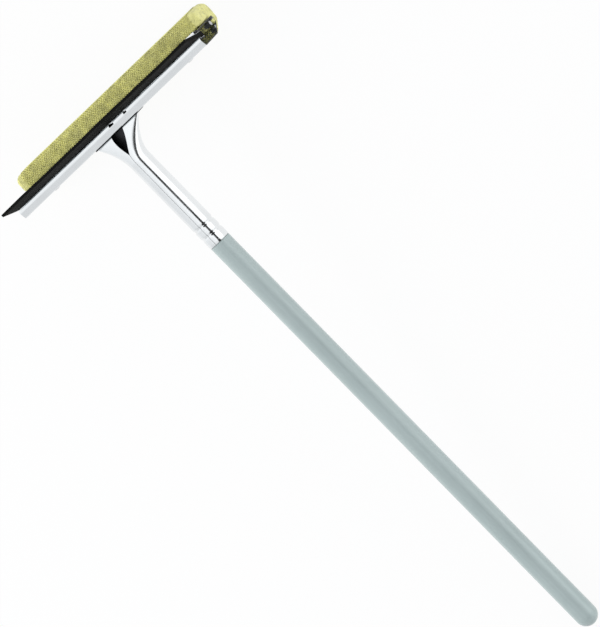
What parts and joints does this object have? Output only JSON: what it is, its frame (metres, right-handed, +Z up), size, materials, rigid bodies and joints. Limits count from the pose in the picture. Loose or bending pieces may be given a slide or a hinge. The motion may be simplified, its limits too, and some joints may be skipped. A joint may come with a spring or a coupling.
{
  "type": "window scrubber",
  "caption": "Window scrubber with a chrome folded-sheet head holding a black rubber blade and a net-covered foam block, on a painted wooden handle",
  "frame": {"origin": "on the floor plane, under the middle of the whole tool's box, as it lies on its foam block and the round end of its handle", "axes": "+X along the head, +Y along the floor from the handle's end to the head, +Z up, the side that the rubber blade stands on"},
  "size_m": [0.205, 0.5332, 0.0794],
  "materials": {
    "painted_wood": "grey-green gloss paint",
    "chrome_sheet": "polished chrome plating",
    "plain_steel": "plain drawn steel",
    "rivet_steel": "bright zinc plated",
    "black_rubber": "smooth matt rubber",
    "yellow_foam": "open-cell foam",
    "yellow_net": "fine yellow plastic net"
  },
  "bodies": {
    "head": {"handle": "painted_wood", "shank": "chrome_sheet", "head_shell": "chrome_sheet", "backing_plate": "plain_steel", "flange_rivets": "rivet_steel", "shell_spacers": "plain_steel", "shell_rivets": "rivet_steel"},
    "blade": {"blade": "black_rubber"},
    "foam_block": {"foam": "yellow_foam", "net_cover": "yellow_net", "net_rod": "plain_steel"}
  },
  "joints": [
    {"name": "blade_slide", "type": "slide", "parent": "head", "child": "blade", "axis": [1, 0, 0], "range_m": [0, 0.15]},
    {"name": "foam_slide", "type": "slide", "parent": "head", "child": "foam_block", "axis": [1, 0, 0], "range_m": [0, 0.15]}
  ]
}
